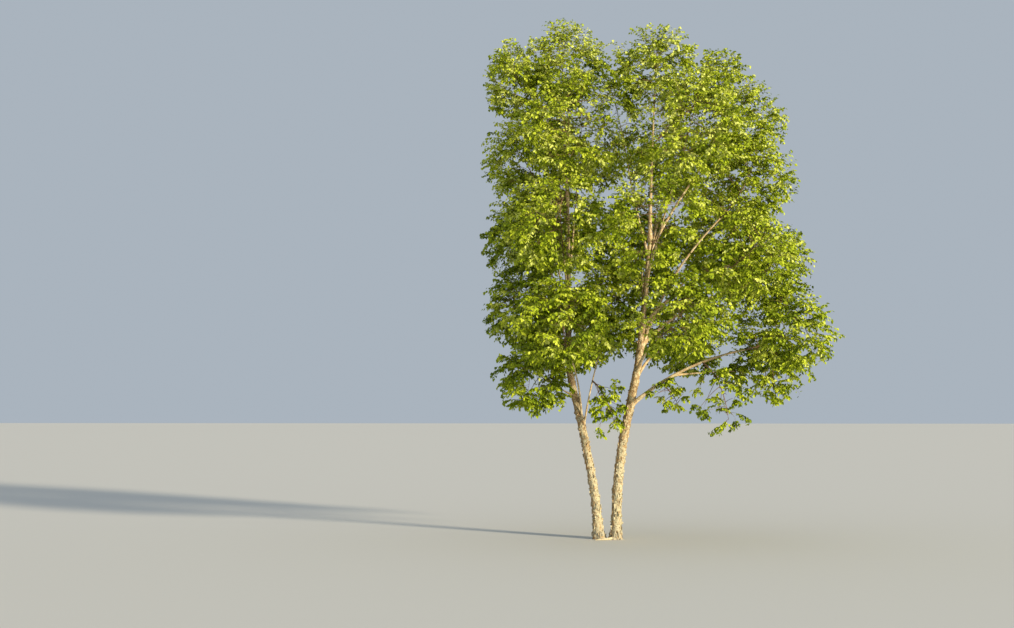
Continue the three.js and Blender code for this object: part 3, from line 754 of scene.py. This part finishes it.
def shortened(k, roots, headings, lengths):
    """The lengths, cut so that each straight run from its root stays in mass k's space."""
    steps = np.linspace(0.1, 1, 10)
    trial = roots[:, None] + headings[:, None] * (lengths[:, None] * steps)[..., None]
    inside = np.logical_and.accumulate(in_space(k, trial), axis=1)
    return lengths * inside.mean(1)


def tubes(curves, girths, tips, sides, rings):
    """Corners and triangles of pointed rods along some curves."""
    shares = np.linspace(0, 1, rings + 1)
    points, directions = along_curves(curves, shares)
    first, second = limb_frame(directions)
    angles = 2 * math.pi * np.arange(sides) / sides
    radius = (girths[:, None] + (tips - girths)[:, None] * shares) / 2
    rim = radius[:, :-1, None, None] * (
        np.cos(angles)[:, None] * first[:, :-1, None]
        + np.sin(angles)[:, None] * second[:, :-1, None]
    )
    skin = (points[:, :-1, None] + rim).reshape(len(curves), -1, 3)
    corners = np.concatenate([skin, points[:, -1:]], axis=1)
    faces = []
    for j in range(rings):
        for i in range(sides):
            a, b = j * sides + i, j * sides + (i + 1) % sides
            if j == rings - 1:
                faces.append((a, b, rings * sides))
            else:
                faces += [(a, b, b + sides), (a, b + sides, a + sides)]
    faces += [(0, i + 1, i) for i in range(1, sides - 1)]
    return corners.reshape(-1, 3), repeated(np.array(faces), corners.shape[1], len(curves))


def leader_of(k):
    """The curve and girth of mass k's leader, from its bough's tip or from the side of its limb."""
    mass, limb, where, rise, girth, *_ = CROWN[k]
    if girth:
        tip, along = along_curves(bough_curves[mass + "_bough"][None], [1.0])
        start, rise = tip[0, 0], math.degrees(math.asin(along[0, 0, 2]))
        girth = girth * BOUGH_TIP_SHARE
    else:
        start, girth = place_on(limb, where), BUD_LEADER_GIRTH
    return arc(start, towards(k, start, -TWIG_REACH), rise), girth * MM


leaders = [leader_of(k) for k in range(len(CROWN))]
leader_shares = np.linspace(0, 1, LEADER_SAMPLES)
leader_points = [along_curves(curve[None], leader_shares)[0][0] for curve, _ in leaders]
twig_sets, leaf_sets = [], []
for k, row in enumerate(CROWN):
    droop = row[-1]
    leader, girth = leaders[k]
    draw = seeded(k)
    phase = 2 * math.pi * next(draw)
    random = np.random.default_rng(500 + k)
    others = [points for i, points in enumerate(leader_points) if i != k]
    near_points = np.concatenate([limb_points, *others])
    near_radii = np.concatenate([limb_radii, np.full(LEADER_SAMPLES * len(others), LEADER_RADIUS)])
    close = np.linalg.norm((near_points - MIDDLES[k]) / HALVES[k], axis=1) < NEARBY
    near_points, near_radii = near_points[close], near_radii[close]

    # side twigs, by the same golden turn as the first few of the plain solids
    i = np.arange(SIDE_TWIGS)
    height = TOP_LEVEL - LEVELS_SPAN * (i % 4) / 3 - LEVEL_SHIFT * (i // 4)
    round_about = phase + i * GOLDEN_ANGLE
    flat = np.sqrt(1 - height**2)
    pole = unit(MIDDLES[k] - leader[0])
    first, second = limb_frame(pole[None])
    directions = (
        (flat * np.cos(round_about))[:, None] * first
        + (flat * np.sin(round_about))[:, None] * second
        + height[:, None] * pole
    )
    far = (TWIG_REACH + TWIG_REACH_SPREAD * random.random(SIDE_TWIGS)) * reach(k, directions)
    ends = MIDDLES[k] + directions * far[:, None]
    places = np.clip(0.25 + 0.6 * (height + 0.53), *SIDE_TWIG_ROOTS)
    roots = along_curves(leader[None], places)[0][0]
    spans = np.linalg.norm(ends - roots, axis=1, keepdims=True)
    side_twigs = np.stack([roots, (roots + ends) / 2 - SIDE_TWIG_ARCH * spans * DOWN, ends], axis=1)
    probe, _ = along_curves(side_twigs, [0.3, 0.6, 1.0])
    good = clear_of_limbs(probe, near_points, near_radii).all(1)
    side_twigs = side_twigs[good]

    # sprays, each from the nearest fit place on a twig to its own part of the space
    count = round(SPRAYS * FULLNESS.get(row[0], 1) * HALVES[k].prod() ** 0.5 / FULL_MASS)
    i = np.arange(count) + 0.5
    level = 1 - 2 * (i / count) ** (HANGING_FULLER_ABOVE if row[0] in HANGING else 1)
    turn = i * GOLDEN_ANGLE + phase
    flat = np.sqrt(1 - level**2)
    directions = np.stack([flat * np.cos(turn), flat * np.sin(turn), level], axis=1)
    directions = unit(directions + SPRAY_SCATTER * random.standard_normal((count, 3)))
    share = SPRAY_REACH + SPRAY_MORE_REACH * random.random(count) ** SPRAY_OUTWARD
    share = np.where(directions[:, 2] > TOPMOST, TOPMOST_REACH, share)
    targets = MIDDLES[k] + directions * (share * reach(k, directions))[:, None]
    parents = np.concatenate([side_twigs, leader[None]])
    places, tangents = along_curves(parents, np.linspace(0.3, 0.99, 12))
    places, tangents = places.reshape(-1, 3), tangents.reshape(-1, 3)
    run = targets[:, None] - places[None]
    length = np.linalg.norm(run, axis=2)
    forward = (run * tangents[None]).sum(2) / np.maximum(length, 1e-6)
    cost = length * (ASKEW_COST - FORWARD_EASE * forward) + TOO_NEAR_COST * (length < TOO_NEAR)
    chosen = cost.argmin(1)
    roots, along = places[chosen], tangents[chosen]
    lengths = np.linalg.norm(targets - roots, axis=1)
    arch = SPRAY_LEAVING * along - (SPRAY_ARCH + SPRAY_DROOP_ARCH * droop) * DOWN
    bend = (roots + targets) / 2 + lengths[:, None] * arch
    bend = np.where(in_space(k, bend)[:, None], bend, (roots + targets) / 2)
    sprays = np.stack([roots, bend, targets], axis=1)
    probe, _ = along_curves(sprays, [0.25, 0.5, 0.75, 1.0])
    good = clear_of_limbs(probe, near_points, near_radii).all(1)
    good &= stays(sprays.mean(1), random.random(count))
    sprays, lengths = sprays[good], lengths[good]
    shade = random.integers(0, 1 << 30, len(sprays)) / (1 << 30)
    # painted light and shade: greens turn lighter up the crown and darker down it
    shade = shade + PAINTED_LIGHT_UPWARD * (MIDDLES[k][2] - SHADE_LEVEL)

    # shoots, left and right in turn along each spray
    shares = 0.2 + 0.76 * (np.arange(SHOOTS) + 0.5 * random.random((len(sprays), SHOOTS))) / SHOOTS
    roots, tangents = along_curves(sprays, shares)
    across = unit(np.cross(tangents, DOWN) + 1e-6)
    hand = np.where(np.arange(SHOOTS) % 2, 1, -1)[None, :, None]
    headings = unit(
        SHOOT_FORWARD * tangents + SHOOT_ASIDE * hand * across + SHOOT_HANG * droop * DOWN
        + SHOOT_SCATTER * random.standard_normal(roots.shape)
    )
    longest = np.clip(lengths[:, None] * SHOOT_LENGTH, *SHOOT_LIMITS) * (1.2 - 0.4 * shares)
    owner = np.repeat(np.arange(len(sprays)), SHOOTS)
    roots, headings = roots.reshape(-1, 3), headings.reshape(-1, 3)
    cut = shortened(k, roots, headings, longest.ravel())[:, None]
    sag = SHOOT_SAG * cut * DOWN
    shoots = np.stack([roots, roots + headings * cut * 0.5, roots + headings * cut + sag], axis=1)
    good = (cut[:, 0] > SHOOT_LEAST_RUN) & in_space(k, shoots[:, 2])
    good &= clear_of_limbs(shoots[:, 1:], near_points, near_radii).all(1)
    shoots, owner = shoots[good], owner[good]
    shoot_shade = shade[owner] + SHOOT_SHADE_CHANGE * random.standard_normal(len(owner))

    twig_sets.append((leader[None], side_twigs, sprays, shoots, girth))
    shades = np.concatenate([shade, shoot_shade])
    leaf_sets.append((k, sprays, shoots, shades, droop, near_points, near_radii))

twig_bark = bpy.data.materials.new("twig_bark")
twig_bark.use_nodes = True
twig_shader = twig_bark.node_tree.nodes["Principled BSDF"]
twig_shader.inputs["Base Color"].default_value = (0.20, 0.115, 0.06, 1)
twig_shader.inputs["Roughness"].default_value = 0.65
# girth, girth at the tip, sides and rings of the side twigs, the sprays and the shoots
ROD_SIZES = ((0.016, 0.006, 4, 4), (0.0075, 0.003, 3, 3), (0.0045, 0.002, 3, 1))
LEADER_TIP, LEADER_SIDES, LEADER_RINGS = 0.010, 8, 12
mass_nodes = [row[0] + "_foliage" for row in CROWN]
half = len(CROWN) // 2
for name, these in (("lower_twigs", slice(0, half)), ("upper_twigs", slice(half, None))):
    rods = []
    for leader, *curve_sets, girth in twig_sets[these]:
        rods.append(tubes(leader, np.array([girth]), LEADER_TIP, LEADER_SIDES, LEADER_RINGS))
        for curves, (thick, tip, sides, rings) in zip(curve_sets, ROD_SIZES):
            rods.append(tubes(curves, np.full(len(curves), thick), tip, sides, rings))
    offsets = np.cumsum([0] + [len(points) for points, _ in rods])
    piece = joined_mesh(
        name,
        np.concatenate([points for points, _ in rods]),
        np.concatenate([faces + offset for (_, faces), offset in zip(rods, offsets)]),
        twig_bark,
    )
    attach(piece, "root")
    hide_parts(*mass_nodes[these])

# The leaves: small pointed ovals, folded a little along the midrib, set left and right in turn.
# They hang from short stalks, so each faces its own way, and they glint where they catch the sun.
# Six greens are dealt out by spray, with some change from leaf to leaf; painted light makes them
# yellower high up, and painted shade darker low down.
LEAF_LENGTH = 0.081
LEAF_WIDTH = 0.059
LEAF_LEAST_SIZE, LEAF_MORE_SIZE = 0.75, 0.5  # shares of those sizes
LEAF_SIZE_LOW, LEAF_SMALLER_UPWARD = 1.08, 0.018  # the same, less by so much a metre
LEAVES_ON_SPRAY, LEAVES_ON_SHOOT = 12, 6
SPRAY_BARE_SHARE, SHOOT_BARE_SHARE = 0.3, 0.1  # of its length, before the first leaf
LEAF_FORWARD, LEAF_ASIDE, LAST_LEAF_ASIDE = 0.55, 0.85, 0.1  # the last one heads forward
LEAF_HANG, LEAF_DROOP_HANG, LEAF_SCATTER, LEAF_TILT = 0.35, 0.3, 0.35, 0.55
LEAF_INWARD = 1.3  # how much a leaf turns in that would leave its mass's space
LEAF_SHADE_CHANGE = 0.13
LEAF_LIMB_EASE = 0.012  # a leaf may hang nearer to a limb than a twig, by so much
LEAF_GLOSS, LEAF_ROUGHNESS = 0.16, 0.5
# red, green, blue, and how common the colour is
GREENS = {
    "deep_green_leaves": (0.165, 0.23, 0.010, 2),
    "dark_green_leaves": (0.255, 0.335, 0.014, 3),
    "green_leaves": (0.345, 0.435, 0.016, 4),
    "light_green_leaves": (0.44, 0.525, 0.028, 4),
    "yellow_green_leaves": (0.53, 0.60, 0.06, 3),
    "pale_young_leaves": (0.61, 0.67, 0.15, 1),
}
# corners of a leaf: along, across and up, as shares of its length, half its width and its length
LEAF_CORNERS = np.array([
    (0, 0, 0), (0.30, 1, 0.10), (0.66, 0.72, 0.06),
    (1, 0, -0.10), (0.66, -0.72, 0.06), (0.30, -1, 0.10),
])
LEAF_TIP = 3
LEAF_FACES = np.array([(0, 2, 1), (0, 3, 2), (0, 4, 3), (0, 5, 4)])


def leaves_on(curves, count, shades, bare_share, droop, random):
    """Root, direction, upper side and shade of count leaves set in turn along each curve."""
    turns = np.arange(count) + 0.5 * random.random((len(curves), count))
    shares = bare_share + (1 - bare_share) * turns / (count - 0.4)
    roots, tangents = along_curves(curves, np.minimum(shares, 1))
    across = unit(np.cross(tangents, DOWN) + 1e-6)
    hand = np.where(np.arange(count) % 2, 1, -1)[None, :, None]
    last = (np.arange(count) == count - 1)[None, :, None]
    heading = unit(
        tangents * np.where(last, 1.0, LEAF_FORWARD)
        + across * hand * np.where(last, LAST_LEAF_ASIDE, LEAF_ASIDE)
        + DOWN * (LEAF_HANG + LEAF_DROOP_HANG * droop)
        + LEAF_SCATTER * random.standard_normal(roots.shape)
    )
    upper = LEAF_TILT * random.standard_normal(roots.shape) - DOWN
    change = LEAF_SHADE_CHANGE * random.standard_normal(len(curves) * count)
    shades = np.clip(np.repeat(shades, count) + change, 0, 0.9999)
    return roots.reshape(-1, 3), heading.reshape(-1, 3), upper.reshape(-1, 3), shades


total = sum(common for *_, common in GREENS.values())
bounds_of_greens = np.cumsum([common / total for *_, common in GREENS.values()])
leaf_corners = {name: [] for name in GREENS}
for k, sprays, shoots, shades, droop, near_points, near_radii in leaf_sets:
    random = np.random.default_rng(900 + k)
    spray_shades, shoot_shades = np.split(shades, [len(sprays)])
    on_spray = leaves_on(sprays, LEAVES_ON_SPRAY, spray_shades, SPRAY_BARE_SHARE, droop, random)
    on_shoot = leaves_on(shoots, LEAVES_ON_SHOOT, shoot_shades, SHOOT_BARE_SHARE, droop, random)
    roots, heading, upper, shade = (np.concatenate(pair) for pair in zip(on_spray, on_shoot))
    inward = unit(MIDDLES[k] - roots)
    astray = ~in_space(k, roots + heading * 1.15 * LEAF_LENGTH)
    heading = np.where(astray[:, None], unit(heading + LEAF_INWARD * inward), heading)
    across = unit(np.cross(upper, heading))
    upper = np.cross(heading, across)
    scale = LEAF_LEAST_SIZE + LEAF_MORE_SIZE * random.random(len(roots))
    scale = scale * (LEAF_SIZE_LOW - LEAF_SMALLER_UPWARD * roots[:, 2])
    folded = LEAF_CORNERS[:, :1] * heading[:, None] + LEAF_CORNERS[:, 2:] * upper[:, None]
    corners = roots[:, None] + scale[:, None, None] * (
        LEAF_LENGTH * folded + LEAF_WIDTH / 2 * LEAF_CORNERS[:, 1:2] * across[:, None]
    )
    tip = corners[:, LEAF_TIP]
    good = in_space(k, tip) & clear_of_limbs(tip, near_points, near_radii - LEAF_LIMB_EASE)
    good &= stays(tip, random.random(len(tip)))
    corners, shade = corners[good], shade[good]
    green = np.searchsorted(bounds_of_greens, shade)
    for i, name in enumerate(GREENS):
        leaf_corners[name].append(corners[green == i])
for name, (red, green, blue, _) in GREENS.items():
    corners = np.concatenate(leaf_corners[name])
    leaf = bpy.data.materials.new(name)
    leaf.use_nodes = True
    shader = leaf.node_tree.nodes["Principled BSDF"]
    shader.inputs["Base Color"].default_value = (red, green, blue, 1)
    shader.inputs["Roughness"].default_value = LEAF_ROUGHNESS
    shader.inputs["Specular IOR Level"].default_value = LEAF_GLOSS
    piece = joined_mesh(
        name, corners.reshape(-1, 3), repeated(LEAF_FACES, len(LEAF_CORNERS), len(corners)), leaf
    )
    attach(piece, "root")
    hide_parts(*mass_nodes)

# The stage: a plain pale floor, a low warm light from the right and soft light all round.
# The camera stands where the picture of the tree was taken from, and looks up a little.
FLOOR_SIZE, FLOOR_DROP = 600, 0.002  # the floor lies just under the feet
EYE_ASIDE, EYE_UP, EYE_ROUND = -0.109, math.radians(3.689), math.radians(3.995)
bpy.ops.object.select_all(action="DESELECT")
bpy.ops.mesh.primitive_plane_add(size=FLOOR_SIZE, location=(0, 0, -FLOOR_DROP))
floor = bpy.context.object
floor.name = "floor"
floor_paint = bpy.data.materials.new("floor_paint")
floor_paint.use_nodes = True
floor_shader = floor_paint.node_tree.nodes["Principled BSDF"]
floor_shader.inputs["Base Color"].default_value = (0.66, 0.65, 0.61, 1)
floor_shader.inputs["Roughness"].default_value = 0.9
floor.data.materials.append(floor_paint)

world = bpy.data.worlds.new("soft_light")
bpy.context.scene.world = world
world.use_nodes = True
soft_light = world.node_tree.nodes["Background"]
soft_light.inputs["Color"].default_value = (0.77, 0.875, 0.99, 1)
soft_light.inputs["Strength"].default_value = 0.52

sun = bpy.data.lights.new("key", "SUN")
sun.energy = 5.6
sun.angle = math.radians(6)
sun.color = (1.0, 0.87, 0.64)
key = bpy.data.objects.new("key", sun)
bpy.context.scene.collection.objects.link(key)
key.rotation_euler = (math.pi / 2 - LIGHT_HEIGHT, 0, LIGHT_BEARING)

camera = bpy.data.cameras.new("camera")
camera.lens = 52.86
camera.sensor_width = 36
camera.clip_end = 1000
viewer = bpy.data.objects.new("camera", camera)
viewer.location = (EYE_ASIDE, -EYE_DISTANCE, EYE_HEIGHT)
viewer.rotation_euler = (math.pi / 2 + EYE_UP, 0, EYE_ROUND)
bpy.context.scene.collection.objects.link(viewer)
bpy.context.scene.camera = viewer
bpy.context.scene.view_settings.view_transform = "Standard"
